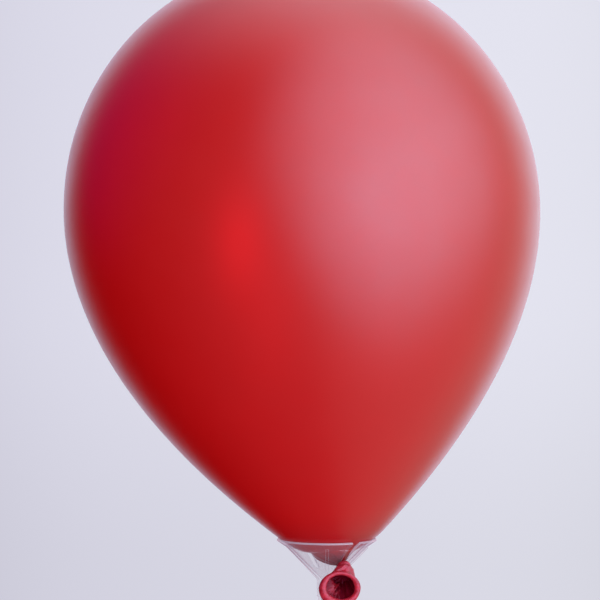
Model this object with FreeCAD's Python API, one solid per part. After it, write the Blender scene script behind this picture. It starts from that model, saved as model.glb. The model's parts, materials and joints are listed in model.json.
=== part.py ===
"""Latex balloon on a clear push-fit cup and stick.

An air-filled latex balloon sits on the sloping seat of a clear plastic funnel cup. Its neck leaves
through a slot in the cup's wall and is tied off outside it. The cup's socket turns on the top of a
clear tube, which is the stick.

Frame: millimetres, +Z up. The origin is the centre of the stick's bottom end, and the stick runs up
the Z axis. The front of the object faces -Y. The slot that holds the neck faces the front right.
"""

import math
import os

import FreeCAD
import Part

V = FreeCAD.Vector

# ---- Driving dimensions, in millimetres and degrees ----

# Inflated balloon. Its outline is an ellipse above the widest ring and a power curve below it.
BALLOON_RADIUS = 127.0
CROWN_HEIGHT = 133.0
TAIL_LENGTH = 196.0
TAIL_POWER = 1.945
BALLOON_WALL = 0.3
WAIST_TO_ROCK_CENTRE = 142.0
NECK_HOLE_RADIUS = 5.0
REST_LEAN = 9.0

# Stick: a clear tube whose top end is turned down a little where the cup grips it.
STICK_LENGTH = 320.0
STICK_RADIUS = 3.0
STICK_BORE_RADIUS = 2.2
STICK_TOP_RADIUS = 2.95
STICK_TOP_TAPER = 0.5
STICK_END_GAP = 0.1
EDGE_CHAMFER = 0.4
SOCKET_DEPTH = 20.0
GRIP_LENGTH = 21.0

# Cup: one clear moulding with a socket, a 45 degree funnel, a seat flange, ribs and two slots.
SOCKET_RADIUS = 4.3
SOCKET_CLEARANCE = 0.05
SOCKET_FLOOR = 2.0
DRAIN_RADIUS = 2.0
FUNNEL_RISE = 17.4
FUNNEL_WALL = 1.2
FLANGE_RADIUS = 26.4
FLANGE_SLOPE = 34.0
FLANGE_THICKNESS = 1.3
FLANGE_EDGE_ROUND = 0.3
SEAT_GAP = 0.25
RIB_THICKNESS = 1.5
RIB_HEIGHT = 0.9
RIB_SLOPE = 0.4
RIB_ROOT = 0.5
RIB_FOOT = 9.0
RIB_RUNOUT = 1.0
SLOT_AZIMUTH = 36.0
RIB_FROM_SLOT = 36.0
SLOT_END = 9.5
SLOT_END_RADIUS = 1.7
SLOT_WIDTH_INNER = 2.8
SLOT_WIDTH_RIM = 5.0
SLOT_FLOOR = 1.0
SLOT_OVERRUN = 1.0

# Neck, knot and mouth of the balloon, outside the slot.
NECK_BASE_RADIUS = 9.2
NECK_MIDDLE_RADIUS = 3.7
NECK_TIP_RADIUS = 1.1
NECK_BORE_TIP_RADIUS = 0.5
NECK_BORE_REACH = 0.8
NECK_ROOT = 2.0
NECK_SAG = 0.3
NECK_WALL = 0.6
NECK_EXIT_REACH = 13.4
NECK_EXIT_RISE = 9.4
KNOT_OFFSET = 2.2
KNOT_WRAPS = ((2.1, 1.3, 0.0), (3.2, 1.6, 1.9))
KNOT_CORE_RADIUS = 2.6
KNOT_TAIL = 0.7
PIVOT_CLEARANCE = 0.25
MOUTH_THROAT_RADIUS = 1.9
MOUTH_WALL = 0.8
MOUTH_BORE_START = 1.0
MOUTH_BORE_OVERRUN = 0.05
LIP_GAP = 0.05
MOUTH_WAIST_SHARE = 0.56
MOUTH_WAIST_PLACE = 0.55
MOUTH_WAIST_BACK = 1.6
MOUTH_WAIST_TURN = 1.5
MOUTH_CENTRE_REACH = 23.4
MOUTH_CENTRE_SIDE = -8.7
MOUTH_CENTRE_DROP = 2.8
MOUTH_WIDTH = 18.6
MOUTH_HEIGHT = 16.4
MOUTH_YAW = 12.0
MOUTH_PITCH = 6.0
LIP_RADIUS = 1.9

# ---- Places worked out from the driving dimensions ----

CUP_BASE = STICK_LENGTH + SOCKET_FLOOR
FUNNEL_TOP_RADIUS = SOCKET_RADIUS + FUNNEL_RISE
FUNNEL_TOP = CUP_BASE + FUNNEL_RISE
SLOPE = math.radians(FLANGE_SLOPE)
AZIMUTH = math.radians(SLOT_AZIMUTH)

SLOT_WAY = V(math.sin(AZIMUTH), -math.cos(AZIMUTH), 0)
SLOT_SIDE = V(math.cos(AZIMUTH), math.sin(AZIMUTH), 0)
UP = V(0, 0, 1)


def in_slot_plane(reach, height, side=0.0):
    """A point by its reach from the Z axis towards the slot, its sideways offset and its height."""
    return SLOT_WAY * reach + SLOT_SIDE * side + UP * height


# ---- Balloon outline ----


def tail_radius(depth):
    """Outline radius at a depth below the widest ring."""
    return BALLOON_RADIUS * (1 - (depth / TAIL_LENGTH) ** TAIL_POWER)


def tail_slope(depth):
    """Change of the outline radius with depth below the widest ring."""
    step = 0.01
    return (tail_radius(depth + step) - tail_radius(depth - step)) / (2 * step)


def seat_ball():
    """(depth, radius) where a ball about the rock centre meets the tail outline tangentially, and its size.

    The balloon's underside is this ball below that ring, so it can rock in the cup's seat.
    """
    low, high = WAIST_TO_ROCK_CENTRE, TAIL_LENGTH * 0.95
    for _ in range(60):
        depth = (low + high) / 2
        normal_meets_axis = depth + tail_radius(depth) * tail_slope(depth)
        if normal_meets_axis < WAIST_TO_ROCK_CENTRE:
            low = depth
        else:
            high = depth
    radius = tail_radius(depth)
    return depth, radius, math.hypot(depth - WAIST_TO_ROCK_CENTRE, radius)


SEAT_DEPTH, SEAT_RING_RADIUS, BALL_RADIUS = seat_ball()

# The seat's sloping face is a cone that touches the ball, SEAT_GAP away from it.
SEAT_FACE_AT_AXIS = (
    FUNNEL_TOP - FUNNEL_TOP_RADIUS * math.tan(SLOPE) + FLANGE_THICKNESS / math.cos(SLOPE)
)
ROCK_CENTRE = V(0, 0, SEAT_FACE_AT_AXIS + (BALL_RADIUS + SEAT_GAP) / math.cos(SLOPE))
NECK_EXIT = in_slot_plane(NECK_EXIT_REACH, CUP_BASE + NECK_EXIT_RISE)
WALL_NORMAL = (SLOT_WAY - UP).normalize()
KNOT_START = NECK_EXIT + WALL_NORMAL * KNOT_OFFSET
KNOT_FOOT = KNOT_START + WALL_NORMAL * (KNOT_WRAPS[-1][1] + KNOT_WRAPS[-1][2] + KNOT_TAIL)
MOUTH_CENTRE = in_slot_plane(MOUTH_CENTRE_REACH, CUP_BASE - MOUTH_CENTRE_DROP, MOUTH_CENTRE_SIDE)


# ---- Small helpers ----


def revolve(points_or_edges):
    """A full turn about Z of a closed outline in the XZ plane."""
    if isinstance(points_or_edges[0], tuple):
        corners = [V(r, 0, z) for r, z in points_or_edges]
        wire = Part.makePolygon(corners + corners[:1])
    else:
        wire = Part.Wire(points_or_edges)
    return Part.Face(wire).revolve(V(0, 0, 0), UP, 360)


def smooth_curve(points):
    """An edge through the given points."""
    curve = Part.BSplineCurve()
    curve.interpolate(points)
    return curve.toShape()


def ring_wire(centre, normal, width, height=None):
    """A round or oval wire. Width runs level, and height runs up, across the given normal."""
    level = UP.cross(normal).normalize()
    upright = normal.cross(level).normalize()
    half_width, half_height = width / 2, (height or width) / 2
    if abs(half_width - half_height) < 1e-6:
        return Part.Wire(Part.Circle(centre, normal, half_width).toShape())
    long_way, long_half, short_half = level, half_width, half_height
    if half_height > half_width:
        long_way, long_half, short_half = upright, half_height, half_width
    short_way = normal.cross(long_way).normalize()
    oval = Part.Ellipse(centre + long_way * long_half, centre + short_way * short_half, centre)
    return Part.Wire(oval.toShape())


def single_solid(shape):
    """The one solid of a shape."""
    solids = shape.Solids
    if len(solids) != 1:
        raise ValueError(f"expected one solid and found {len(solids)}")
    return solids[0]


# ---- Balloon skin ----


def meridian(inset):
    """Outline points of the balloon from crown to neck hole, moved inwards by inset, before it leans.

    Heights are measured from the widest ring.
    """
    points = []
    crown_steps, tail_steps, ball_steps = 14, 16, 6
    for i in range(crown_steps):
        angle = math.pi / 2 * (1 - i / crown_steps)
        points.append((
            (BALLOON_RADIUS - inset) * math.cos(angle),
            (CROWN_HEIGHT - inset) * math.sin(angle),
        ))
    for i in range(tail_steps):
        depth = SEAT_DEPTH * i / tail_steps
        slope = tail_slope(max(depth, 0.05))
        length = math.hypot(1, slope)
        points.append((tail_radius(depth) - inset / length, -depth - inset * slope / length))
    ball = BALL_RADIUS - inset
    start = math.asin(SEAT_RING_RADIUS / BALL_RADIUS)
    end = math.asin(NECK_HOLE_RADIUS / ball)
    for i in range(ball_steps + 1):
        angle = start + (end - start) * i / ball_steps
        points.append((ball * math.sin(angle), -WAIST_TO_ROCK_CENTRE - ball * math.cos(angle)))
    return points


def place_balloon(shape):
    """Lifts a shape made about the widest ring onto the cup and leans it away from the slot."""
    shape.translate(ROCK_CENTRE + UP * WAIST_TO_ROCK_CENTRE)
    shape.rotate(ROCK_CENTRE, SLOT_SIDE, -REST_LEAN)
    return shape


def balloon_skin():
    """The inflated latex skin, hollow, and open where the neck starts."""
    outer = [V(r, 0, z) for r, z in meridian(0)]
    inner = [V(r, 0, z) for r, z in meridian(BALLOON_WALL)]
    edges = [
        smooth_curve(outer),
        Part.makeLine(outer[-1], inner[-1]),
        smooth_curve(inner[::-1]),
        Part.makeLine(inner[0], outer[0]),
    ]
    return place_balloon(single_solid(revolve(edges)))


# ---- Neck, knot and mouth ----


def balloon_neck(cup_shape):
    """The tapering neck, from the balloon's underside out through the slot, pressed against the cup."""
    lean = math.radians(REST_LEAN)
    away = SLOT_WAY * math.sin(lean) - UP * math.cos(lean)
    base = ROCK_CENTRE + away * (BALL_RADIUS + SEAT_GAP)
    root = base - away * NECK_ROOT

    def horn(shrink, tip_radius, reach):
        tip = base + (NECK_EXIT - base) * reach
        middle = (base + tip) / 2 - SLOT_WAY * NECK_SAG
        rings = [
            ring_wire(root, away, 2 * (NECK_BASE_RADIUS - shrink)),
            ring_wire(middle, (away + WALL_NORMAL).normalize(), 2 * (NECK_MIDDLE_RADIUS - shrink)),
            ring_wire(tip, WALL_NORMAL, 2 * tip_radius),
        ]
        return Part.makeLoft(rings, True, True)

    outer = horn(0, NECK_TIP_RADIUS, 1).fuse(Part.makeSphere(NECK_TIP_RADIUS, NECK_EXIT))
    hollow = horn(NECK_WALL, NECK_BORE_TIP_RADIUS, NECK_BORE_REACH)
    clear_of_skin = Part.makeSphere(BALL_RADIUS + SEAT_GAP, ROCK_CENTRE)
    return single_solid(outer.cut(hollow).cut(clear_of_skin).cut(cup_shape))


def neck_knot():
    """The tied knot: a tight wrap and a fuller wrap round one core, with its axis square to the wall."""
    shape = Part.makeCylinder(KNOT_CORE_RADIUS, KNOT_WRAPS[-1][2], KNOT_START, WALL_NORMAL)
    for ring_radius, strand_radius, along in KNOT_WRAPS:
        centre = KNOT_START + WALL_NORMAL * along
        shape = shape.fuse(Part.makeTorus(ring_radius, strand_radius, centre, WALL_NORMAL))
    neck_room = Part.makeSphere(NECK_TIP_RADIUS + PIVOT_CLEARANCE, NECK_EXIT)
    mouth_room = Part.makeSphere(MOUTH_THROAT_RADIUS + PIVOT_CLEARANCE, KNOT_FOOT)
    return single_solid(shape.cut(neck_room).cut(mouth_room))


def mouth_normal():
    """The way the open mouth faces."""
    yaw, pitch = math.radians(MOUTH_YAW), math.radians(MOUTH_PITCH)
    return V(math.sin(yaw) * math.cos(pitch), -math.cos(yaw) * math.cos(pitch), math.sin(pitch))


def lip_path():
    """The oval line that the rolled lip follows."""
    return ring_wire(MOUTH_CENTRE, mouth_normal(), MOUTH_WIDTH, MOUTH_HEIGHT)


def rolled_lip():
    """The rolled bead round the balloon's mouth."""
    path = lip_path()
    edge = path.Edges[0]
    start, along = edge.valueAt(edge.FirstParameter), edge.tangentAt(edge.FirstParameter)
    section = Part.Wire(Part.Circle(start, along, LIP_RADIUS).toShape())
    return single_solid(path.makePipeShell([section], True, True))


def mouth_funnel():
    """The slack flared end of the neck, from the knot to the rolled lip, hollow like a small trumpet."""
    facing = mouth_normal()
    waist = KNOT_FOOT + (MOUTH_CENTRE - KNOT_FOOT) * MOUTH_WAIST_PLACE - facing * MOUTH_WAIST_BACK
    waist_facing = (WALL_NORMAL + facing * MOUTH_WAIST_TURN).normalize()
    rim = MOUTH_CENTRE - facing * (LIP_RADIUS + LIP_GAP)

    def trumpet(shrink, start, overrun):
        thinner = 2 * shrink
        rings = [
            ring_wire(KNOT_FOOT + WALL_NORMAL * start, WALL_NORMAL, 2 * MOUTH_THROAT_RADIUS - thinner),
            ring_wire(waist, waist_facing, MOUTH_WIDTH * MOUTH_WAIST_SHARE - thinner),
            ring_wire(rim + facing * overrun, facing, MOUTH_WIDTH - thinner, MOUTH_HEIGHT - thinner),
        ]
        return Part.makeLoft(rings, True, False)

    outer = trumpet(0, 0, 0)
    hollow = trumpet(MOUTH_WALL, MOUTH_BORE_START, MOUTH_BORE_OVERRUN)
    return single_solid(outer.cut(hollow))


# ---- Cup and stick ----


def cup_body():
    """The round body of the cup: socket, funnel and seat flange in one section, with a rounded rim."""
    bore = STICK_TOP_RADIUS + SOCKET_CLEARANCE
    mouth = STICK_LENGTH - SOCKET_DEPTH
    edge_rise = (FLANGE_RADIUS - FUNNEL_TOP_RADIUS) * math.tan(SLOPE)
    flange_edge = FUNNEL_TOP + edge_rise
    seat_edge_radius = FLANGE_RADIUS - FLANGE_THICKNESS * math.sin(SLOPE)
    inner_wall_at_axis = CUP_BASE - SOCKET_RADIUS + FUNNEL_WALL * math.sqrt(2)
    seat_inner_radius = (SEAT_FACE_AT_AXIS - inner_wall_at_axis) / (1 - math.tan(SLOPE))
    section = [
        (bore + EDGE_CHAMFER, mouth),
        (SOCKET_RADIUS, mouth),
        (SOCKET_RADIUS, CUP_BASE),
        (FUNNEL_TOP_RADIUS, FUNNEL_TOP),
        (FLANGE_RADIUS, flange_edge),
        (seat_edge_radius, flange_edge + FLANGE_THICKNESS * math.cos(SLOPE)),
        (seat_inner_radius, inner_wall_at_axis + seat_inner_radius),
        (DRAIN_RADIUS, inner_wall_at_axis + DRAIN_RADIUS),
        (DRAIN_RADIUS, STICK_LENGTH),
        (bore, STICK_LENGTH),
        (bore, mouth + EDGE_CHAMFER),
    ]
    body = revolve(section)
    rim = [edge for edge in body.Edges if edge.BoundBox.XMax > seat_edge_radius - FLANGE_EDGE_ROUND
           and edge.BoundBox.ZLength < FLANGE_EDGE_ROUND]
    return body.makeFillet(FLANGE_EDGE_ROUND, rim)


def rib(azimuth):
    """A low rib up the outside of the socket and funnel, at an azimuth from the front."""
    foot = CUP_BASE - RIB_FOOT
    inside, outside = SOCKET_RADIUS - RIB_ROOT, SOCKET_RADIUS + RIB_HEIGHT
    top_outside = FUNNEL_TOP_RADIUS + RIB_HEIGHT
    corners = [
        V(inside, 0, foot - RIB_RUNOUT),
        V(SOCKET_RADIUS, 0, foot - RIB_RUNOUT),
        V(outside, 0, foot),
        V(outside, 0, CUP_BASE - RIB_HEIGHT * RIB_SLOPE),
        V(top_outside, 0, FUNNEL_TOP - RIB_HEIGHT * RIB_SLOPE),
        V(top_outside, 0, FUNNEL_TOP + RIB_HEIGHT * math.tan(SLOPE)),
        V(FUNNEL_TOP_RADIUS - RIB_ROOT, 0, FUNNEL_TOP),
        V(inside, 0, CUP_BASE),
    ]
    plate = Part.Face(Part.makePolygon(corners + corners[:1])).extrude(V(0, RIB_THICKNESS, 0))
    plate.translate(V(0, -RIB_THICKNESS / 2, 0))
    plate.rotate(V(0, 0, 0), UP, azimuth - 90)
    return plate


def slot(azimuth):
    """The room taken by one slot: round at its inner end and widening towards the rim."""
    low = CUP_BASE + SLOT_FLOOR
    tall = 2 * FUNNEL_RISE
    end = FLANGE_RADIUS + SLOT_OVERRUN
    inner, outer = SLOT_WIDTH_INNER / 2, SLOT_WIDTH_RIM / 2
    corners = [
        V(SLOT_END, -inner, low),
        V(end, -outer, low),
        V(end, outer, low),
        V(SLOT_END, inner, low),
    ]
    shape = Part.Face(Part.makePolygon(corners + corners[:1])).extrude(V(0, 0, tall))
    shape = shape.fuse(Part.makeCylinder(SLOT_END_RADIUS, tall, V(SLOT_END, 0, low), UP))
    shape.rotate(V(0, 0, 0), UP, azimuth - 90)
    return shape


def cup():
    """The clear cup: one moulding with four ribs and two opposite slots."""
    shape = cup_body()
    slot_azimuths = (SLOT_AZIMUTH, SLOT_AZIMUTH + 180)
    for azimuth in slot_azimuths:
        for side in (-RIB_FROM_SLOT, RIB_FROM_SLOT):
            shape = shape.fuse(rib(azimuth + side))
    for azimuth in slot_azimuths:
        shape = shape.cut(slot(azimuth))
    return single_solid(shape.removeSplitter())


def stick():
    """The clear tube that carries the cup."""
    grip = STICK_LENGTH - GRIP_LENGTH
    top = STICK_LENGTH - STICK_END_GAP
    section = [
        (STICK_BORE_RADIUS, 0),
        (STICK_RADIUS, 0),
        (STICK_RADIUS, grip),
        (STICK_TOP_RADIUS, grip + STICK_TOP_TAPER),
        (STICK_TOP_RADIUS, top - EDGE_CHAMFER),
        (STICK_TOP_RADIUS - EDGE_CHAMFER, top),
        (STICK_BORE_RADIUS, top),
    ]
    return single_solid(revolve(section))


def main():
    """Writes one STEP file for each node."""
    os.makedirs("parts", exist_ok=True)
    cup_shape = cup()
    nodes = {
        "balloon_skin": balloon_skin(),
        "balloon_neck": balloon_neck(cup_shape),
        "neck_knot": neck_knot(),
        "mouth_funnel": mouth_funnel(),
        "rolled_lip": rolled_lip(),
        "cup": cup_shape,
        "stick": stick(),
    }
    for name, shape in nodes.items():
        shape.exportStep(f"parts/{name}.step")
        print(f"{name}: {shape.Volume:.1f} mm3, valid {shape.isValid()}")


main()
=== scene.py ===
"""Looks for the latex balloon that sits on a clear cup and stick.

Everything is in metres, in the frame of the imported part: +Z up, front towards -Y, origin at the centre of
the stick's bottom end. Most places come from the part's joints and nodes.
"""

import json
import math
from collections import namedtuple

import bmesh
import bpy
import numpy as np
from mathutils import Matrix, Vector, noise
from mathutils.bvhtree import BVHTree

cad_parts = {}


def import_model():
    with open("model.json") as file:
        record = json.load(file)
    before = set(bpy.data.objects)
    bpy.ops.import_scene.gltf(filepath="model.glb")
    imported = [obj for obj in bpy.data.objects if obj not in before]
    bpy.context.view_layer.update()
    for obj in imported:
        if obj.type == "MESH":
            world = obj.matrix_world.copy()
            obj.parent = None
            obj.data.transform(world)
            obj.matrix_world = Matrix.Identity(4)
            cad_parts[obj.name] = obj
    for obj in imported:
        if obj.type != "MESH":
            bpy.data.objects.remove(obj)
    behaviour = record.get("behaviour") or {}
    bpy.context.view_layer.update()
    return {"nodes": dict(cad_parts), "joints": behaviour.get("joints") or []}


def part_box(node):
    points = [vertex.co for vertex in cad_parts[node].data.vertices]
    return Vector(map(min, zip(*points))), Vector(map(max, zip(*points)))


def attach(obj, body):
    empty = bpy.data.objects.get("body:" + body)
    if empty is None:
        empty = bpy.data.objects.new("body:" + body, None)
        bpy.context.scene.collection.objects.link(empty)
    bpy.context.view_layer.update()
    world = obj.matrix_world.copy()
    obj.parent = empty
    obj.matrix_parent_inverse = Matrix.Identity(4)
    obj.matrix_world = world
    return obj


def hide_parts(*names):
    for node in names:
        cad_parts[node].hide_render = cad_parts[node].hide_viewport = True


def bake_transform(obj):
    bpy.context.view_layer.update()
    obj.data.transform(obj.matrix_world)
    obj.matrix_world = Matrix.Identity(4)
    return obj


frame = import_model()

MM = 0.001
TURN = 2 * math.pi

# ---- Places taken from the frame ----

JOINTS = {joint["name"]: joint for joint in frame["joints"]}
ROCK_CENTRE = np.array(JOINTS["balloon_lean"]["pos_m"])
SIDE = np.array(JOINTS["balloon_lean"]["axis"])
NECK_EXIT = np.array(JOINTS["knot_twist"]["pos_m"])
WALL_NORMAL = np.array(JOINTS["knot_twist"]["axis"])
UP = np.array([0.0, 0.0, 1.0])
SLOT_WAY = np.cross(SIDE, UP)
CUP_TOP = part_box("cup")[1][2]
MOUTH_CENTRE = np.mean(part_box("rolled_lip"), axis=0)


def node_points(name):
    """The vertices of a CAD node as an array."""
    vertices = frame["nodes"][name].data.vertices
    points = np.zeros(len(vertices) * 3)
    vertices.foreach_get("co", points)
    return points.reshape(-1, 3)


def unit(vector):
    """The vector at length one."""
    return vector / np.linalg.norm(vector)


def crown_direction():
    """The way from the rock centre to the balloon's crown, its farthest point."""
    away = node_points("balloon_skin") - ROCK_CENTRE
    return unit(away[np.argmax(np.linalg.norm(away, axis=1))])


AXIS = crown_direction()

# ---- Small number helpers ----


def smooth_step(x):
    """0 below 0, 1 above 1, and smooth between."""
    x = np.clip(x, 0, 1)
    return x * x * (3 - 2 * x)


def hump(x, middle, spread):
    """1 at the middle, falling smoothly to 0 on both sides."""
    return np.exp(-(((x - middle) / spread) ** 2))


def between(share, ends):
    """The value at a share of the way from the first end to the second."""
    return ends[0] + (ends[1] - ends[0]) * share


def turned(angles, first, second):
    """A vector for each angle, which is the first one at 0 and the second one a quarter turn on."""
    return np.cos(angles)[:, None] * first + np.sin(angles)[:, None] * second


def lengths(vectors):
    """The length of each vector, as a column."""
    return np.linalg.norm(vectors, axis=1)[:, None]


def bezier(p0, p1, p2, p3, shares):
    """Points on a cubic curve."""
    u = np.asarray(shares)[:, None]
    v = 1 - u
    return v**3 * p0 + 3 * v**2 * u * p1 + 3 * v * u**2 * p2 + u**3 * p3


def lumpy(points, size, shift):
    """Smooth noise between -1 and 1 at each point, with lumps of a size. The shift picks the pattern."""
    return np.array([noise.noise(Vector(p) / size + Vector(shift)) for p in points])


# ---- Small mesh helpers ----


def make_object(name, points, faces):
    """A smooth-shaded mesh object from points and faces, with every face turned outwards."""
    mesh = bpy.data.meshes.new(name)
    mesh.from_pydata([tuple(p) for p in points], [], faces)
    outwards = bmesh.new()
    outwards.from_mesh(mesh)
    bmesh.ops.recalc_face_normals(outwards, faces=outwards.faces)
    outwards.to_mesh(mesh)
    outwards.free()
    shade(mesh, True)
    return place_mesh(name, mesh)


def place_mesh(name, mesh):
    """An object in the scene that shows a mesh."""
    obj = bpy.data.objects.new(name, mesh)
    bpy.context.scene.collection.objects.link(obj)
    return obj


def shade(mesh, smooth):
    """Sets a mesh to smooth or flat shading."""
    mesh.polygons.foreach_set("use_smooth", [smooth] * len(mesh.polygons))


def loft(name, rings):
    """A closed surface through a stack of rings, with a middle point at each end."""
    count, around, _ = rings.shape
    points = np.vstack([rings.reshape(-1, 3), rings[0].mean(0), rings[-1].mean(0)])
    first, last = count * around, count * around + 1
    faces = []
    for i in range(count - 1):
        for j in range(around):
            k = (j + 1) % around
            faces.append((i * around + j, i * around + k, (i + 1) * around + k, (i + 1) * around + j))
    for j in range(around):
        k = (j + 1) % around
        faces.append((first, k, j))
        faces.append((last, (count - 1) * around + j, (count - 1) * around + k))
    return make_object(name, points, faces)


def add_point_values(obj, name, values):
    """Stores one number at each vertex, for a material to read."""
    attribute = obj.data.attributes.new(name, "FLOAT", "POINT")
    attribute.data.foreach_set("value", np.asarray(values, np.float32))


# ---- The cup's funnel, which the latex rests in ----

FUNNEL_PROBE = 12.0 * MM


def cup_tree():
    """The cup's surface, ready for rays."""
    mesh = frame["nodes"]["cup"].data
    return BVHTree.FromPolygons([v.co for v in mesh.vertices], [p.vertices for p in mesh.polygons])


CUP_TREE = cup_tree()


def funnel_height(radius):
    """Height of the funnel's inner wall at a radius, measured well away from its slots."""
    start = Vector((SIDE * radius).tolist()) + Vector((0, 0, ROCK_CENTRE[2]))
    return CUP_TREE.ray_cast(start, Vector((0, 0, -1)))[0].z


WALL_SLOPE = (funnel_height(FUNNEL_PROBE) - funnel_height(FUNNEL_PROBE / 2)) / (FUNNEL_PROBE / 2)
WALL_AT_AXIS = funnel_height(FUNNEL_PROBE) - FUNNEL_PROBE * WALL_SLOPE


def funnel_radius(height):
    """Radius of the funnel's inner wall at a height."""
    return (height - WALL_AT_AXIS) / WALL_SLOPE


# ---- Balloon skin, down to where its neck starts ----

SKIN_AROUND = 256
CROWN_RINGS = 60
TAIL_RINGS = 110
SEAT_RINGS = 48
FIRST_RING_SHARE = 0.012
WAIST_ABOVE_ROCK = 142.0 * MM
TAIL_LENGTH = 196.0 * MM
TAIL_POWER = 1.945
SEAT_SEARCH = (1.02 * WAIST_ABOVE_ROCK, 0.95 * TAIL_LENGTH)
SEAT_SEARCH_STEPS = 4000
SEAT_SAG = 0.5 * MM
SEAT_SAG_ANGLES = (11, 21, 31)
CAP_ANGLE = math.radians(17)

# How slack the latex is, from 0 on the stretched skin to 1 beyond the knot. Slacker latex is painted a darker
# red: thicker latex at the crown's tip, and near the neck also painted shade where the cup keeps light off
# it.
CROWN_SLACK = 0.25
CROWN_SLACK_RADIUS = 9 * MM
TAIL_SLACK = 0.45
TAIL_SLACK_RISE = 22 * MM
NECK_SLACK = 0.95

# Painted glow: patches of brighter colour painted on the front, where light shines through the balloon.
# Places are in X and Z.
Patch = namedtuple("Patch", "across height half_width half_height strength")
PAINTED_GLOW_PATCHES = (
    Patch(across=-43.5 * MM, height=498 * MM, half_width=13 * MM, half_height=24 * MM, strength=1.0),
    Patch(across=-29.0 * MM, height=462 * MM, half_width=17 * MM, half_height=32 * MM, strength=0.35),
)


def balloon_sizes():
    """Waist radius and crown height above the waist."""
    away = node_points("balloon_skin") - ROCK_CENTRE
    height = away @ AXIS
    radius = np.linalg.norm(away - height[:, None] * AXIS, axis=1)
    return radius.max(), height.max() - WAIST_ABOVE_ROCK


WAIST_RADIUS, CROWN_HEIGHT = balloon_sizes()


def tail_radius(depth):
    """Outline radius at a depth below the waist."""
    return WAIST_RADIUS * (1 - (depth / TAIL_LENGTH) ** TAIL_POWER)


def seat_ball():
    """The depth below the waist where the tail becomes a ball about the rock centre, and its radius."""
    depths = np.linspace(*SEAT_SEARCH, SEAT_SEARCH_STEPS)
    reach = np.hypot(tail_radius(depths), depths - WAIST_ABOVE_ROCK)
    nearest = np.argmin(reach)
    return depths[nearest], reach[nearest]


SEAT_DEPTH, BALL_RADIUS = seat_ball()


def skin_outline():
    """Heights above the rock centre and radii, from near the crown down to the neck's root."""
    crown = np.linspace(FIRST_RING_SHARE, 1, CROWN_RINGS) * math.pi / 2
    outline = [(WAIST_ABOVE_ROCK + CROWN_HEIGHT * math.cos(a), WAIST_RADIUS * math.sin(a)) for a in crown]
    for depth in np.linspace(0, SEAT_DEPTH, TAIL_RINGS)[1:]:
        outline.append((WAIST_ABOVE_ROCK - depth, tail_radius(depth)))
    seat_angle = math.acos((SEAT_DEPTH - WAIST_ABOVE_ROCK) / BALL_RADIUS)
    for angle in np.linspace(seat_angle, CAP_ANGLE, SEAT_RINGS)[1:]:
        outline.append((-BALL_RADIUS * math.cos(angle), BALL_RADIUS * math.sin(angle)))
    return outline


def sagged(points):
    """The underside pressed into the funnel: fuller than a ball just below the ring on the seat."""
    away = points - ROCK_CENTRE
    reach = np.linalg.norm(away, axis=1)
    angle = np.degrees(np.arccos(np.clip(-away[:, 2] / reach, -1, 1)))
    low, middle, high = SEAT_SAG_ANGLES
    rise = smooth_step((angle - low) / (middle - low))
    fall = smooth_step((high - angle) / (high - middle))
    inside = np.linalg.norm(points[:, :2], axis=1) < funnel_radius(points[:, 2])
    return points + away / reach[:, None] * (SEAT_SAG * rise * fall * inside)[:, None]


def skin_slack(height, radius):
    """How slack the skin is at a ring: a little at the crown's tip and more near the neck."""
    crown = CROWN_SLACK * hump(radius, 0, CROWN_SLACK_RADIUS) if height > 0 else 0
    return crown + TAIL_SLACK * smooth_step(1 - (height + BALL_RADIUS) / TAIL_SLACK_RISE)


def painted_glow(points):
    """How much each point belongs to the painted glow patches on the front."""
    total = np.zeros(len(points))
    for patch in PAINTED_GLOW_PATCHES:
        aside = hump(points[:, 0], patch.across, patch.half_width)
        above = hump(points[:, 2], patch.height, patch.half_height)
        total += patch.strength * aside * above
    return total * (points[:, 1] < 0)


# ---- Neck, which runs on from the skin and leaves through the slot ----

NECK_STEPS = 90
NECK_TIP_RADIUS = 1.5 * MM
NECK_TAPER = 1.5
NECK_PLEATS = 11
NECK_PLEAT_DEPTH = 0.05
NECK_PLEATS_FULL_AT = 0.5
NECK_BELLY = 1.2 * MM
NECK_UNDER_PULL = 6 * MM
NECK_INTO_KNOT = 1.6 * MM
NECK_LEAVES_AT = 0.8
NECK_LEAST_REACH = 0.15
CUP_GAP = 0.12 * MM
SLOT_BULGE = 0.5 * MM


def held_by_cup(centre, points):
    """Points moved back towards their ring's centre where they would pass the cup's wall."""
    kept = []
    for point in points:
        way = Vector(point - centre)
        reach = way.length
        hit = CUP_TREE.ray_cast(Vector(centre), way.normalized(), reach + CUP_GAP)
        if hit[0] is not None:
            reach = max(reach * NECK_LEAST_REACH, min(reach, hit[3] - CUP_GAP))
        kept.append(centre + np.array(way.normalized()) * reach)
    return np.array(kept)


def neck_edges(root, shares):
    """The line down the slot and the line under the balloon that the neck's flat sides run between."""
    slot_edge, under_edge = root[3 * SKIN_AROUND // 4], root[SKIN_AROUND // 4]
    up_wall = unit(SLOT_WAY + UP)
    low, high = NECK_EXIT - up_wall * NECK_TIP_RADIUS, NECK_EXIT + up_wall * NECK_TIP_RADIUS
    top = SLOT_WAY * (funnel_radius(slot_edge[2]) + SLOT_BULGE) + UP * slot_edge[2]
    down_slot = bezier(slot_edge, top - up_wall * NECK_BELLY, high + up_wall * NECK_BELLY, high, shares)
    drop = under_edge - UP * (under_edge[2] - low[2] + NECK_BELLY)
    below = bezier(under_edge, drop, low - SLOT_WAY * NECK_UNDER_PULL - UP * NECK_BELLY, low, shares)
    return down_slot, below


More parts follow.
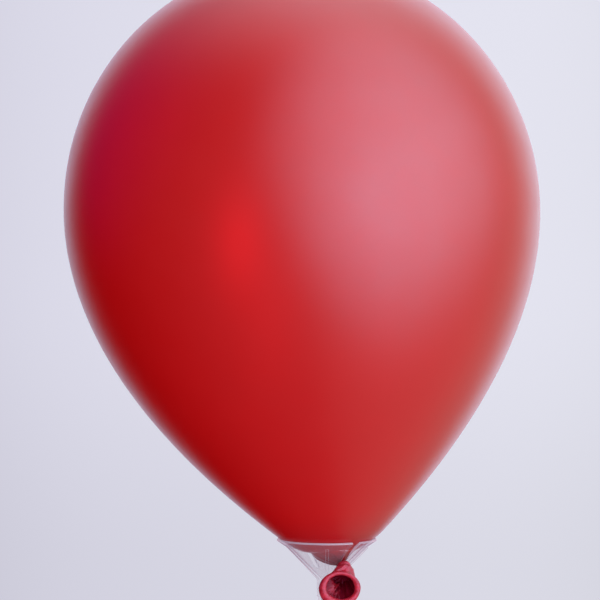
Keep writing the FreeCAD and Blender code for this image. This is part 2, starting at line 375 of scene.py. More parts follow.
def neck_rings(root, angles, shares):
    """Rings of the neck: flat-sided, with one edge down the slot and the other under the balloon."""
    half_width = np.abs((root - root.mean(0)) @ SIDE).max()
    wave = np.cos(NECK_PLEATS * angles + np.sin(2 * angles))
    rings = []
    for share, front, back in zip(shares, *neck_edges(root, shares)):
        leave = smooth_step((share - NECK_LEAVES_AT) / (1 - NECK_LEAVES_AT))
        centre = (front + back) / 2 + WALL_NORMAL * NECK_INTO_KNOT * leave
        width = between((1 - share) ** NECK_TAPER, (NECK_TIP_RADIUS, half_width))
        pleat = 1 + NECK_PLEAT_DEPTH * smooth_step(share / NECK_PLEATS_FULL_AT) * wave
        along = np.sin(angles)[:, None] * (back - front) / 2
        across = (np.cos(angles) * pleat * width)[:, None] * SIDE
        rings.append(held_by_cup(centre, centre + along + across))
    return rings


def balloon_latex():
    """The inflated skin and the neck that runs from its underside out through the cup's slot."""
    angles = np.linspace(0, TURN, SKIN_AROUND, endpoint=False)
    around = turned(angles, SIDE, np.cross(SIDE, -AXIS))
    rings, slack = [], []
    for height, radius in skin_outline():
        rings.append(sagged(ROCK_CENTRE + AXIS * height + radius * around))
        slack.append(skin_slack(height, radius))
    shares = np.linspace(0, 1, NECK_STEPS)[1:]
    rings += neck_rings(rings[-1], angles, shares)
    slack += list(between(smooth_step(shares * 2), (TAIL_SLACK, NECK_SLACK)))
    obj = loft("balloon_latex", np.array(rings))
    add_point_values(obj, "slack", np.append(np.repeat(slack, SKIN_AROUND), [slack[0], slack[-1]]))
    # The 'thin' attribute holds the painted glow of the patches.
    add_point_values(obj, "thin", painted_glow(np.array([v.co for v in obj.data.vertices])))
    return obj


# ---- Knot ----

KNOT_VOXEL = 0.16 * MM
KNOT_SMOOTHING = 3
KNOT_SHIFT = 0.6 * MM
KNOT_OFF_WALL = 0.35 * MM
KNOT_DROOP = 0.6
KNOT_WAY = unit(WALL_NORMAL * (1 - KNOT_DROOP) + unit(MOUTH_CENTRE - NECK_EXIT) * KNOT_DROOP)
KNOT_ACROSS = np.cross(KNOT_WAY, SIDE)
KNOT_LEVEL = np.cross(KNOT_ACROSS, KNOT_WAY)

# The knot's strands. Each pair is a value at the strand's start and end, or at its ends and middle.
STRAND_STEPS = 90
STRAND_AROUND = 24
WRAP_TURNS = (0.40, 1.75)
WRAP_REACH = (1.035 * MM, 2.3 * MM)
WRAP_OUT = (0.9 * MM, 2.2 * MM)
WRAP_RADIUS = (1.1 * MM, 1.65 * MM)
WRAP_TAPER = 0.15
WRAP_RIDGES = 0.05
CROSSING_TURNS = (0.02, 0.18)
CROSSING_REACH = (2.4 * MM, 3.3 * MM)
CROSSING_OUT = (1.2 * MM, 4.6 * MM)
CROSSING_RADIUS = (0.6 * MM, 1.1 * MM)
CROSSING_RIDGES = 0.06
CORE_OUT = (-0.6 * MM, 4.6 * MM)
CORE_SHARES = (0, 0.2, 0.6, 1)
CORE_RADII = (1.5 * MM, 2.5 * MM, 2.8 * MM, 2.2 * MM)
CORE_RIDGES = 0.05
ANY_WAY = (0.31, 0.52, 0.79)


def tube(name, points, radii, ridges):
    """A closed tube along a line of points, with lengthwise ridges."""
    points = np.array(points)
    ways = np.gradient(points, axis=0)
    ways /= lengths(ways)
    normal = np.cross(ways[0], ANY_WAY)
    angles = np.linspace(0, TURN, STRAND_AROUND, endpoint=False)
    swell = 1 + ridges * np.cos(5 * angles) + 0.5 * ridges * np.cos(3 * angles + 1)
    rings = []
    for point, way, radius in zip(points, ways, radii):
        normal = unit(normal - way * (normal @ way))
        rings.append(point + (radius * swell)[:, None] * turned(angles, normal, np.cross(way, normal)))
    return loft(name, np.array(rings))


def merged(name, parts, voxel, smoothing):
    """The parts melted into one closed organic mesh."""
    points, faces, start = [], [], 0
    for part in parts:
        points += [tuple(v.co) for v in part.data.vertices]
        faces += [tuple(start + i for i in p.vertices) for p in part.data.polygons]
        start = len(points)
        bpy.data.objects.remove(part)
    lump = make_object(name + "_lump", points, faces)
    remesh = lump.modifiers.new("melt", "REMESH")
    remesh.mode = "VOXEL"
    remesh.voxel_size = voxel
    relax = lump.modifiers.new("relax", "SMOOTH")
    relax.iterations = smoothing
    bpy.context.view_layer.update()
    graph = bpy.context.evaluated_depsgraph_get()
    mesh = bpy.data.meshes.new_from_object(lump.evaluated_get(graph))
    bpy.data.objects.remove(lump)
    mesh.name = name
    shade(mesh, True)
    return place_mesh(name, mesh)


def knot_point(turns, reach, out):
    """A point by its turns round the knot's axis, its reach from that axis and its distance from the slot."""
    way = math.cos(turns * TURN) * KNOT_LEVEL + math.sin(turns * TURN) * KNOT_ACROSS
    return NECK_EXIT + KNOT_LEVEL * KNOT_SHIFT + KNOT_WAY * out + way * reach


def knot_wrap(shares):
    """The fat strand that goes round the neck's tail."""
    full = np.minimum(1, np.minimum(shares, 1 - shares) / WRAP_TAPER)
    reach, out = between(full, WRAP_REACH), between(shares, WRAP_OUT)
    line = [knot_point(*place) for place in zip(between(shares, WRAP_TURNS), reach, out)]
    return tube("strand", line, between(full, WRAP_RADIUS), WRAP_RIDGES)


def knot_crossing(shares):
    """The thinner strand that crosses over the wrap."""
    arch = np.sin(math.pi * shares)
    reach, out = between(arch, CROSSING_REACH), between(shares, CROSSING_OUT)
    line = [knot_point(*place) for place in zip(between(shares, CROSSING_TURNS), reach, out)]
    return tube("crossing", line, between(arch, CROSSING_RADIUS), CROSSING_RIDGES)


def knot_core(shares):
    """The bunched latex that the strands go round."""
    line = [knot_point(0, 0, out) for out in between(shares, CORE_OUT)]
    return tube("core", line, np.interp(shares, CORE_SHARES, CORE_RADII), CORE_RIDGES)


def knot():
    """The tied knot: a fat wrap of latex round the neck's tail, pressed flat against the cup's wall."""
    shares = np.linspace(0, 1, STRAND_STEPS)
    strands = [knot_wrap(shares), knot_crossing(shares), knot_core(shares)]
    obj = merged("knot", strands, KNOT_VOXEL, KNOT_SMOOTHING)
    for vertex in obj.data.vertices:
        height = (np.array(vertex.co) - NECK_EXIT) @ WALL_NORMAL
        vertex.co += Vector(WALL_NORMAL * max(0.0, KNOT_OFF_WALL - height))
    add_point_values(obj, "slack", np.full(len(obj.data.vertices), 1.0))
    return obj


# ---- Slack mouth: the bell below the knot, its rolled lip and its hollow ----

MOUTH_AROUND = 240
MOUTH_STEPS = 50
MOUTH_WALL = 0.6 * MM
MOUTH_START = 3.9 * MM
MOUTH_START_PULL = 3.0 * MM
MOUTH_RIM_PULL = 3.5 * MM
MOUTH_LIFT = 1.0 * MM
MOUTH_SQUASH = 0.94

# The bell's radius grows from the knot to the shoulder at once, and then opens to the lip.
SHOULDER_RADII = (2.6 * MM, 5.7 * MM)
SHOULDER_SHARE = 0.11
OPENING_SHARE = 0.12
OPENING_POWER = 0.8

# The bead is thinner at the top and fuller at the lower left. Angles run anticlockwise from its right.
BEAD_FROM = math.radians(-18)
BEAD_TO = math.radians(205)
BEAD_STEPS = 30
BEAD_SHARE = 0.92
BEAD_LEFT = 0.08
BEAD_TOP_THIN = 0.36
BEAD_FULL = 0.28
BEAD_FULL_ANGLE = math.radians(235)
BEAD_FULL_SPREAD = math.radians(55)
BEAD_UNEVEN = 0.03

# Gathers run from the knot towards the lip, and are deeper inside the hollow.
MOUTH_FOLDS = 9
MOUTH_FOLD_DEPTH = 0.04
CAVITY_FOLD_DEPTH = 0.13
FOLD_DRIFT = 1.6
FOLD_FINE_DRIFT = 0.7
FOLD_START = 0.12
FOLD_POWER = 0.7

# The hollow ends at a share of the way back to the knot. A crumple of latex swells into it from one side.
CAVITY_END = 0.30
CAVITY_LIP_RATE = 6
# Painted shade darkens the hollow from just inside the lip, less where the crumple catches light.
CAVITY_SHADE_RATE = 5
CAVITY_LIP_WALL = 0.5
CAVITY_LUMPS = 0.6 * MM
CAVITY_LUMP_SIZE = 1.8 * MM
CAVITY_LUMP_SHIFT = (14.6, 6.2, 11.4)
CRUMPLE_ANGLE = math.radians(212)
CRUMPLE_SPREAD = math.radians(50)
CRUMPLE_DEPTH = 0.5
CRUMPLE_DEPTH_SPREAD = 0.22
CRUMPLE_SWELL = 4.8 * MM
CRUMPLE_EVEN = 0.8
CRUMPLE_UNEVEN = 0.9
CRUMPLE_LIT = 0.9


def lip_sizes():
    """Facing, level and upright ways, half width, half height and bead radius of the rolled lip."""
    points = node_points("rolled_lip") - MOUTH_CENTRE
    facing = np.linalg.svd(points, full_matrices=False)[2][2]
    facing = facing if facing[1] < 0 else -facing
    level = unit(np.cross(UP, facing))
    upright = np.cross(facing, level)
    bead = np.abs(points @ facing).max()
    half_width, half_height = np.abs(points @ level).max() - bead, np.abs(points @ upright).max() - bead
    return facing, level, upright, half_width, half_height, bead


class Mouth:
    """The rings of the mouth's latex, from the knot over the rolled lip and back down inside."""

    def __init__(self):
        self.facing, level, upright, half_width, half_height, bead = lip_sizes()
        self.angles = np.linspace(0, TURN, MOUTH_AROUND, endpoint=False)
        self.centre = MOUTH_CENTRE + upright * MOUTH_LIFT
        self.oval = turned(self.angles, level * half_width, upright * half_height * MOUTH_SQUASH)
        self.out = self.oval / lengths(self.oval)
        self.thickness = bead * self.bead_shares()
        drift = FOLD_DRIFT * np.sin(self.angles) + FOLD_FINE_DRIFT * np.sin(3 * self.angles)
        self.folds = np.cos(MOUTH_FOLDS * self.angles + drift)
        throat_upright = unit(np.cross(KNOT_WAY, SIDE))
        self.throat = turned(self.angles, np.cross(throat_upright, KNOT_WAY), throat_upright)
        self.shares = np.linspace(0, 1, MOUTH_STEPS)
        self.line = self.middle_line(self.centre + self.facing * bead * math.sin(BEAD_FROM))

    def bead_shares(self):
        """The bead's radius at each angle, as a share of the CAD bead's."""
        full = BEAD_FULL * hump(self.angles, BEAD_FULL_ANGLE, BEAD_FULL_SPREAD)
        uneven = BEAD_UNEVEN * (np.sin(3 * self.angles + 0.6) + np.sin(5 * self.angles))
        thin = BEAD_TOP_THIN * np.maximum(0, np.sin(self.angles))
        return BEAD_SHARE - BEAD_LEFT * np.cos(self.angles) - thin + full + uneven

    def middle_line(self, rim_middle):
        """The bell's middle line from the knot to the lip."""
        start = NECK_EXIT + KNOT_WAY * MOUTH_START
        leaving = start + KNOT_WAY * MOUTH_START_PULL
        arriving = rim_middle - self.facing * MOUTH_RIM_PULL
        return bezier(start, leaving, arriving, rim_middle, self.shares)

    def on_bead(self, turn):
        """The ring on the bead at a turn from straight outwards towards the front, about the lip's centre."""
        offset = math.cos(turn) * self.out + math.sin(turn) * self.facing
        return self.oval + offset * self.thickness[:, None]

    def lip_edge(self, turn):
        """The same ring without its step towards the front."""
        return self.oval + self.out * (self.thickness * math.cos(turn))[:, None]

    def bell(self, share):
        """The bell's wall about its middle line at a share of the way from the knot to the lip."""
        neck = self.throat * between(smooth_step(share / SHOULDER_SHARE), SHOULDER_RADII)
        opened = smooth_step((share - OPENING_SHARE) / (1 - OPENING_SHARE)) ** OPENING_POWER
        return neck * (1 - opened) + self.lip_edge(BEAD_FROM) * opened

    def folded_bell(self, share, depth):
        """The bell pressed in by gathers that fade towards the lip."""
        fade = math.sin(math.pi * min(1, between(share, (FOLD_START, 1)))) ** FOLD_POWER
        return self.bell(share) * (1 - depth * fade * (1 - self.folds))[:, None]

    def outside(self):
        """The rings from the knot to the lip."""
        return [middle + self.folded_bell(s, MOUTH_FOLD_DEPTH) for s, middle in zip(self.shares, self.line)]

    def lip(self):
        """The rings round the bead, from its back over the front to its inside."""
        return [self.centre + self.on_bead(turn) for turn in np.linspace(BEAD_FROM, BEAD_TO, BEAD_STEPS)[1:]]

    def crumple(self, deep):
        """How much each point of a ring in the hollow belongs to the crumple."""
        around = hump(self.angles, CRUMPLE_ANGLE, CRUMPLE_SPREAD)
        return around * hump(deep, CRUMPLE_DEPTH, CRUMPLE_DEPTH_SPREAD)

    def hollow_ring(self, share, middle, deep):
        """One ring of the hollow: the bell less its wall, pressed in by lumps and by the crumple."""
        wall = self.folded_bell(share, CAVITY_FOLD_DEPTH)
        wall *= 1 - (MOUTH_WALL + self.thickness[:, None] * CAVITY_LIP_WALL * (1 - deep)) / lengths(wall)
        from_lip = smooth_step(deep * CAVITY_LIP_RATE)
        wall = wall * from_lip + self.lip_edge(BEAD_TO) * (1 - from_lip)
        lumps = lumpy(middle + wall, CAVITY_LUMP_SIZE, CAVITY_LUMP_SHIFT)
        swell = CRUMPLE_SWELL * self.crumple(deep) * (CRUMPLE_EVEN + CRUMPLE_UNEVEN * lumps)
        push = (swell + CAVITY_LUMPS * np.maximum(0, lumps)) * from_lip
        return middle + wall * (1 - push[:, None] / lengths(wall))

    def hollow(self):
        """The rings from the lip back into the hollow, and how much painted shade each of their points gets.
        """
        rings, hollow_shade = [], []
        for share, middle in zip(self.shares[::-1], self.line[::-1]):
            if share < CAVITY_END:
                break
            deep = (1 - share) / (1 - CAVITY_END)
            rings.append(self.hollow_ring(share, middle, deep))
            hollow_shade.append(smooth_step(deep * CAVITY_SHADE_RATE) * (1 - CRUMPLE_LIT * self.crumple(deep)))
        return rings, hollow_shade


def mouth():
    """The slack latex outside the knot: a gathered bell that ends in the rolled lip, and its hollow."""
    shape = Mouth()
    seen = shape.outside() + shape.lip()
    hollow, hollow_shade = shape.hollow()
    obj = loft("mouth", np.array(seen + hollow))
    bright = np.zeros(len(seen) * MOUTH_AROUND)
    add_point_values(obj, "slack", np.full(len(obj.data.vertices), 1.0))
    # The 'inside' attribute holds the painted shade: none outside, dark deep in the hollow.
    add_point_values(obj, "inside", np.concatenate([bright, *hollow_shade, [0.0, 1.0]]))
    return obj


# ---- Node trees ----


class Nodes:
    """A short way to build the node tree of a material or a world."""

    def __init__(self, owner, output="ShaderNodeOutputMaterial"):
        owner.use_nodes = True
        self.owner = owner
        self.tree = owner.node_tree
        self.tree.nodes.clear()
        self.output = self.add(output)

    def add(self, kind, **settings):
        """A node with its settings."""
        made = self.tree.nodes.new(kind)
        for key, value in settings.items():
            setattr(made, key, value)
        return made

    def set(self, target, name, value):
        """Sets an input to a number or colour, or links it to another node's output."""
        socket = target.inputs[name]
        if isinstance(value, bpy.types.NodeSocket):
            self.tree.links.new(value, socket)
        else:
            socket.default_value = value

    def shader(self, kind, **inputs):
        """A shader with its inputs. An underscore in an input's name stands for a space."""
        made = self.add(kind)
        for key, value in inputs.items():
            self.set(made, key.replace("_", " "), value)
        return made.outputs[0]

    def place(self, kind="Object"):
        """The place or direction that is being shaded."""
        return self.add("ShaderNodeTexCoord").outputs[kind]

    def parts(self, vector):
        """The X, Y and Z of a vector."""
        made = self.add("ShaderNodeSeparateXYZ")
        self.set(made, 0, vector)
        return made.outputs

    def noise(self, size, detail=2.0, roughness=0.5, stretch=(1, 1, 1)):
        """Noise from 0 to 1 whose lumps are about size metres across, drawn out along axes by stretch."""
        mapping = self.add("ShaderNodeMapping")
        self.set(mapping, "Vector", self.place())
        self.set(mapping, "Scale", [1 / (size * part) for part in stretch])
        made = self.add("ShaderNodeTexNoise")
        self.set(made, "Vector", mapping.outputs[0])
        self.set(made, "Scale", 1.0)
        self.set(made, "Detail", detail)
        self.set(made, "Roughness", roughness)
        return made.outputs["Fac"]

    def spread(self, value, low, high, start=0.0, end=1.0, shape="LINEAR"):
        """A value that runs from low to high as the given one runs from start to end."""
        made = self.add("ShaderNodeMapRange", interpolation_type=shape)
        self.set(made, "Value", value)
        self.set(made, "From Min", start)
        self.set(made, "From Max", end)
        self.set(made, "To Min", low)
        self.set(made, "To Max", high)
        return made.outputs["Result"]

    def math(self, operation, *values):
        """One arithmetic step."""
        made = self.add("ShaderNodeMath", operation=operation)
        for index, value in enumerate(values):
            self.set(made, index, value)
        return made.outputs[0]

    def dot(self, first, second):
        """The dot product of two vectors."""
        made = self.add("ShaderNodeVectorMath", operation="DOT_PRODUCT")
        self.set(made, 0, first)
        self.set(made, 1, second)
        return made.outputs["Value"]

    def mix(self, share, first, second, blend="MIX"):
        """A colour between two others, or two of them multiplied or added."""
        made = self.add("ShaderNodeMix", data_type="RGBA", blend_type=blend)
        self.set(made, 0, share)
        self.set(made, 6, first)
        self.set(made, 7, second)
        return made.outputs[2]

    def attribute(self, name):
        """The number stored at each vertex under a name."""
        return self.add("ShaderNodeAttribute", attribute_name=name).outputs["Fac"]

    def bump(self, height, distance):
        """A bumped normal."""
        made = self.add("ShaderNodeBump")
        self.set(made, "Height", height)
        self.set(made, "Distance", distance)
        return made.outputs["Normal"]

    def blend(self, share, first, second):
        """A shader between two others."""
        made = self.add("ShaderNodeMixShader")
        self.set(made, 0, share)
        self.set(made, 1, first)
        self.set(made, 2, second)
        return made.outputs[0]

    def ray(self, kind):
        """1 for rays of the given kind, and 0 for others."""
        return self.add("ShaderNodeLightPath").outputs[f"Is {kind} Ray"]

    def finish(self, shader):
        """Ends the tree and returns its owner."""
        self.set(self.output, "Surface", shader)
        return self.owner


# ---- Latex materials ----

STRETCHED_RED = (0.60, 0.0, 0.002, 1)
STRETCHED_DEEP = (0.54, 0.0, 0.001, 1)
PAINTED_GLOW_RED = (0.77, 0.0, 0.003, 1)
# Slack latex turns towards this red: darker for thick, unstretched latex, and darker still as painted shade
# where the neck sits in the cup.
NECK_RED_AND_SHADE = (0.20, 0.002, 0.008, 1)
SLACK_RED = (0.50, 0.030, 0.058, 1)
SLACK_DARK = (0.24, 0.004, 0.014, 1)
MOUTH_HOLLOW_SHADE = (0.11, 0.001, 0.009, 1)

# The studio's mirrored lights are blue-green, so these two shines lean to red and come out neutral. They
# suit only this light: under white light both should be white.
SLACK_SHINE = (1.0, 0.20, 0.22, 1)
PLASTIC_SHINE = (1.0, 0.28, 0.22, 1)


def latex_skin():
    """Stretched latex: saturated red, a little lit through, with a satin surface and faint clouding. Patches
    of painted glow brighten the front, and slack latex is darker, partly as painted shade.
    """
    n = Nodes(bpy.data.materials.new("latex_skin"))
    slack = n.attribute("slack")
    clouds = n.noise(size=45 * MM, detail=3.0, roughness=0.55)
    stretched = n.mix(clouds, STRETCHED_DEEP, STRETCHED_RED)
    # Painted glow: brighter red where the 'thin' attribute marks the patches lit through.
    stretched = n.mix(n.attribute("thin"), stretched, PAINTED_GLOW_RED)
    # Slacker latex is darker: partly thicker latex, partly painted shade of the cup.
    colour = n.mix(slack, stretched, NECK_RED_AND_SHADE)
    satin = n.noise(size=16 * MM, detail=4.0, roughness=0.6)
    grain = n.noise(size=1.2 * MM, detail=3.0, roughness=0.6)
    normal = n.bump(grain, distance=0.004 * MM)
    surface = n.shader(
        "ShaderNodeBsdfPrincipled",
        Base_Color=colour,
        Roughness=n.spread(satin, low=0.33, high=0.40),
        Specular_IOR_Level=0.5,
        Normal=normal,
    )
    through = n.shader("ShaderNodeBsdfTranslucent", Color=colour, Normal=normal)
    lit_through = n.spread(slack, low=0.22, high=0.02)
    return n.finish(n.blend(lit_through, surface, through))


def latex_slack():
    """Unstretched latex of the knot and mouth: thicker, duller and darker, with fine creases. The mouth's
    hollow is painted dark and less shiny, as shade.
    """
    n = Nodes(bpy.data.materials.new("latex_slack"))
    clouds = n.noise(size=2.5 * MM, detail=4.0, roughness=0.6)
    bright = n.spread(clouds, low=0.0, high=1.0, start=0.3, end=0.7)
    # The 'inside' attribute paints shade in the mouth's hollow: a darker red and a weaker shine.
    inside = n.attribute("inside")
    creases = n.noise(size=0.7 * MM, detail=5.0, roughness=0.65)
    surface = n.shader(
        "ShaderNodeBsdfPrincipled",
        Base_Color=n.mix(inside, n.mix(bright, SLACK_DARK, SLACK_RED), MOUTH_HOLLOW_SHADE),
        Roughness=n.spread(clouds, low=0.32, high=0.46),
        Specular_IOR_Level=n.spread(inside, low=0.75, high=0.15),
        Specular_Tint=SLACK_SHINE,
        Subsurface_Weight=0.15,
        Subsurface_Radius=(2 * MM, 0.3 * MM, 0.3 * MM),
        Subsurface_Scale=1.0,
        Normal=n.bump(creases, distance=0.05 * MM),
    )
    return n.finish(surface)


# ---- Clear plastic ----

MILKY = (0.80, 0.88, 1.0, 1)
CLEAR = (0.985, 0.978, 0.98, 1)
CLEAR_EDGE_ON = (0.74, 0.63, 0.70, 1)
SLOT_FOOT = NECK_EXIT[2] - 6 * MM
RIM_THICKNESS = 1.1 * MM
RIM_FADE = 0.3 * MM
# Painted highlight on the slot's side faces: which faces count and how milky they get.
SLOT_HIGHLIGHT_FROM = 0.93
SLOT_HIGHLIGHT_SHARE = 0.55
MARK_SIZE = 5 * MM
SHINY_SHARE = 0.12


def edge_highlight(n, edge_size, from_outside):
    """Painted highlight where two faces of the plastic meet, half as strong when seen from inside it."""
    rounded = n.add("ShaderNodeBevel", samples=6)
    n.set(rounded, "Radius", edge_size)
    face_normal = n.add("ShaderNodeNewGeometry").outputs["Normal"]
    turn = n.math("SUBTRACT", 1.0, n.dot(rounded.outputs[0], face_normal))
    edge = n.spread(turn, low=0.0, high=0.6, start=0.01, end=0.16, shape="SMOOTHSTEP")
    return n.math("MULTIPLY", edge, n.spread(from_outside, low=0.5, high=1.0))


def slot_highlight(n, height, slot_height, from_outside):
    """Painted highlight on the slot's side faces, which face along the rocking axis: they are made
    milky-white when seen from outside.
    """
    sideways = n.math("ABSOLUTE", n.dot(n.place("Normal"), tuple(SIDE)))
    face_highlight = n.spread(sideways, low=0.0, high=SLOT_HIGHLIGHT_SHARE, start=SLOT_HIGHLIGHT_FROM, end=1.0, shape="SMOOTHSTEP")
    face_highlight = n.math("MULTIPLY", face_highlight, n.math("GREATER_THAN", height, slot_height))
    return n.math("MULTIPLY", face_highlight, from_outside)


def clear_plastic(name, haze, mark_stretch, edge_size, slot_height, rim_height, rim_highlight_share):
    """Clear moulded plastic: see-through faces with a faint milky haze and flow marks, and painted highlights
    on its edges.

    Painted highlights also whiten the slot's side faces and, above the rim height, the flange's edge.
    """
    n = Nodes(bpy.data.materials.new(name))
    from_outside = n.math("SUBTRACT", 1.0, n.add("ShaderNodeNewGeometry").outputs["Backfacing"])
    height = n.parts(n.place())["Z"]
    weight = n.add("ShaderNodeLayerWeight")
    n.set(weight, "Blend", 0.5)
    # Faces seen edge-on are whitened a little as a painted reflection, and their see-through tint turns
    # mauve.
    grazing = n.spread(weight.outputs["Facing"], low=0.0, high=1.0, start=0.6, end=1.0, shape="SMOOTHSTEP")
    # Painted highlight: the flange's edge above the rim height is made milky-white.
    rim_end = rim_height + RIM_FADE
    rim = n.spread(height, low=0.0, high=rim_highlight_share, start=rim_height, end=rim_end, shape="SMOOTHSTEP")
    # Painted highlights: the rim, the slot's side faces and the edges of the plastic.
    bright = n.math("MAXIMUM", rim, slot_highlight(n, height, slot_height, from_outside))
    bright = n.math("MAXIMUM", bright, edge_highlight(n, edge_size, from_outside))
    flow = n.noise(size=MARK_SIZE, detail=3.0, roughness=0.6, stretch=mark_stretch)
    marks = n.spread(flow, low=0.6 * haze, high=1.5 * haze)
    # The milky share is the real haze and flow marks plus the painted highlights and the edge-on whitening.
    share = n.math("ADD", marks, n.math("MAXIMUM", bright, n.spread(grazing, low=0.0, high=0.12)))
    normal = n.bump(n.noise(size=2 * MM), distance=0.02 * MM)
    scattered = n.blend(
        0.5,
        n.shader("ShaderNodeBsdfDiffuse", Color=MILKY, Normal=normal),
        n.shader("ShaderNodeBsdfTranslucent", Color=MILKY, Normal=normal),
    )
    shiny = n.shader("ShaderNodeBsdfGlossy", Color=PLASTIC_SHINE, Roughness=0.15, Normal=normal)
    clear = n.shader("ShaderNodeBsdfTransparent", Color=n.mix(grazing, CLEAR, CLEAR_EDGE_ON))
    return n.finish(n.blend(share, clear, n.blend(SHINY_SHARE, scattered, shiny)))


def cup_plastic():
    """The cup's plastic, with painted highlights on its slot's side faces and its rim."""
    return clear_plastic(
        "clear_cup",
        haze=0.095,
        mark_stretch=(1, 1, 3),
        edge_size=0.25 * MM,
        slot_height=SLOT_FOOT,
        rim_height=CUP_TOP - RIM_THICKNESS,
        rim_highlight_share=0.5,
    )


def stick_plastic():
    """The stick's plastic, with draw marks along it. It ends below the cup's top, with no slot or rim."""
    return clear_plastic(
        "clear_stick",
        haze=0.09,
        mark_stretch=(0.3, 0.3, 30),
        edge_size=0.2 * MM,
        slot_height=CUP_TOP,
        rim_height=CUP_TOP,
        rim_highlight_share=0.0,
    )


def paint(obj, material):
    """Gives an object one material."""
    obj.data.materials.clear()
    obj.data.materials.append(material)


# ---- Stage ----

CAMERA_DISTANCE = 1204 * MM
CAMERA_SIDE = -14.1 * MM
CAMERA_HEIGHT = 469.3 * MM
CAMERA_FIELD = math.radians(14.99)
CAMERA_CLIP = 50 * MM

FLOOR_RADIUS = 1600 * MM
FLOOR_THICKNESS = 20 * MM
FLOOR_AROUND = 96
FLOOR_CLOUDS = 350 * MM
FLOOR_PALE = (0.64, 0.74, 0.77, 1)
FLOOR_PALER = (0.60, 0.70, 0.73, 1)

BACKDROP_LEFT = (0.715, 0.705, 0.82, 1)
BACKDROP_RIGHT = (0.795, 0.795, 0.89, 1)
BACKDROP_FOOT = 0.90
BACKDROP_SIDES = 0.95
BACKDROP_FADE_HEIGHT = 0.55
BACKDROP_SIDE_POWER = 4.0

# Soft lights of the studio, by the direction that they come from in degrees. Azimuth 0 is at the camera and
# 90 to its right: the studio stays with the camera, as when the object is turned in it. The shine lights are
# what mirror-like rays see: a large softbox, its brighter middle, a dim violet wall on the left, an overhead
# softbox, the bright wall behind and a reflector on the right. The wash lights are what other rays see.
Light = namedtuple("Light", "azimuth elevation half_width falloff strength colour")
SHINE_LIGHTS = (
    Light(45, 20, half_width=65, falloff=1.25, strength=11.0, colour=(0.3, 1.0, 1.3, 1)),
    Light(35, -5, half_width=40, falloff=1.25, strength=3.5, colour=(0.1, 1.0, 1.5, 1)),
    Light(-100, 30, half_width=45, falloff=1.0, strength=0.6, colour=(0.05, 0.05, 1.0, 1)),
    Light(150, 80, half_width=80, falloff=5.0, strength=4.0, colour=(0.5, 0.95, 1.1, 1)),
    Light(175, 10, half_width=45, falloff=0.5, strength=2.2, colour=(0.8, 1.0, 1.25, 1)),
    Light(80, 5, half_width=85, falloff=0.5, strength=1.5, colour=(0.25, 1.0, 0.9, 1)),
)
WASH_LIGHTS = (
    Light(30, 5, half_width=180, falloff=1.25, strength=1.7, colour=(1.0, 0.8, 0.9, 1)),
)
DARK = (0, 0, 0, 1)


def towards(azimuth, elevation):
    """A direction in the camera's frame (right, up, ahead) by its azimuth and elevation in degrees."""
    a, e = math.radians(azimuth), math.radians(elevation)
    return (math.sin(a) * math.cos(e), math.sin(e), -math.cos(a) * math.cos(e))


def soft_lights(n, lights):
    """The light that comes from each direction of a dark room with broad soft lights."""
    total = DARK
    for light in lights:
        facing = n.dot(n.place("Camera"), towards(light.azimuth, light.elevation))
        edge = math.cos(math.radians(light.half_width))
        inside = n.spread(facing, low=0.0, high=1.0, start=edge, end=1.0)
        level = n.math("MULTIPLY", n.math("POWER", inside, light.falloff), light.strength)
        total = n.mix(1.0, total, n.mix(1.0, light.colour, level, "MULTIPLY"), "ADD")
    return n.shader("ShaderNodeBackground", Color=total)


def backdrop(n):
    """A pale lavender wall, paler to the right and a little darker at its foot and sides."""
    window = n.parts(n.place("Window"))
    wall = n.mix(window["X"], BACKDROP_LEFT, BACKDROP_RIGHT)
    rise = n.spread(window["Y"], low=BACKDROP_FOOT, high=1.0, end=BACKDROP_FADE_HEIGHT, shape="SMOOTHSTEP")
    off_middle = n.math("ABSOLUTE", n.spread(window["X"], low=-1.0, high=1.0))
    aside = n.math("POWER", off_middle, BACKDROP_SIDE_POWER)
    level = n.math("MULTIPLY", rise, n.spread(aside, low=1.0, high=BACKDROP_SIDES))
    return n.shader("ShaderNodeBackground", Color=wall, Strength=level)


def world():
    """The backdrop for the camera, and the studio's soft lights for everything else."""
    made = bpy.data.worlds.new("studio")
    bpy.context.scene.world = made
    n = Nodes(made, "ShaderNodeOutputWorld")
    lighting = n.blend(n.ray("Glossy"), soft_lights(n, WASH_LIGHTS), soft_lights(n, SHINE_LIGHTS))
    n.finish(n.blend(n.ray("Camera"), lighting, backdrop(n)))


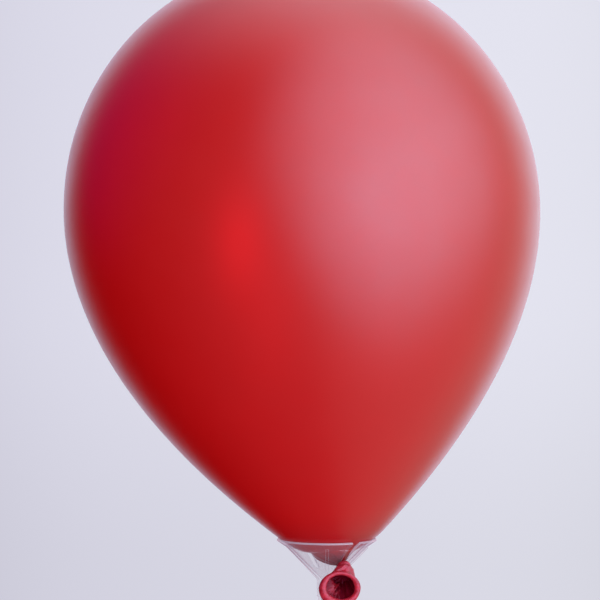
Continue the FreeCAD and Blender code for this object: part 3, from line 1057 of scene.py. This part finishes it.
def floor_paint():
    """Plain pale studio floor."""
    n = Nodes(bpy.data.materials.new("floor_paint"))
    colour = n.mix(n.noise(size=FLOOR_CLOUDS), FLOOR_PALER, FLOOR_PALE)
    return n.finish(n.shader("ShaderNodeBsdfDiffuse", Color=colour, Roughness=0.8))


def floor():
    """A round pale floor under the stick, which neither lights the object nor shows in its shine."""
    angles = np.linspace(0, TURN, FLOOR_AROUND, endpoint=False)
    circle = turned(angles, np.array([1.0, 0.0, 0.0]), np.array([0.0, 1.0, 0.0]))
    outline = ((FLOOR_RADIUS, -FLOOR_THICKNESS), (FLOOR_RADIUS, 0.0), (FLOOR_RADIUS / 3, 0.0))
    obj = loft("floor", np.array([circle * radius + UP * height for radius, height in outline]))
    shade(obj.data, False)
    paint(obj, floor_paint())
    obj.visible_glossy = False
    obj.visible_diffuse = False
    obj.visible_shadow = False


def camera():
    """A level camera in front, at the height of the balloon's lower half."""
    data = bpy.data.cameras.new("camera")
    data.angle = CAMERA_FIELD
    data.clip_start = CAMERA_CLIP
    obj = bpy.data.objects.new("camera", data)
    obj.location = (CAMERA_SIDE, -CAMERA_DISTANCE, CAMERA_HEIGHT)
    obj.rotation_euler = (math.radians(90), 0, 0)
    bpy.context.scene.collection.objects.link(obj)
    bpy.context.scene.camera = obj


def build_stage():
    """Floor, backdrop, lights and camera."""
    scene = bpy.context.scene
    scene.view_settings.view_transform = "Standard"
    scene.view_settings.look = "None"
    world()
    floor()
    camera()


# ---- Build ----


def build_object():
    """Every visible piece with its material, and the knot on its body."""
    skin_material, slack_material = latex_skin(), latex_slack()
    skin = balloon_latex()
    paint(skin, skin_material)
    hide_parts("balloon_skin", "balloon_neck")
    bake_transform(skin)

    tied = knot()
    paint(tied, slack_material)
    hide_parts("neck_knot")
    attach(tied, "knot")

    slack_end = mouth()
    paint(slack_end, slack_material)
    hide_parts("mouth_funnel", "rolled_lip")
    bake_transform(slack_end)

    paint(frame["nodes"]["cup"], cup_plastic())
    paint(frame["nodes"]["stick"], stick_plastic())


build_object()
build_stage()
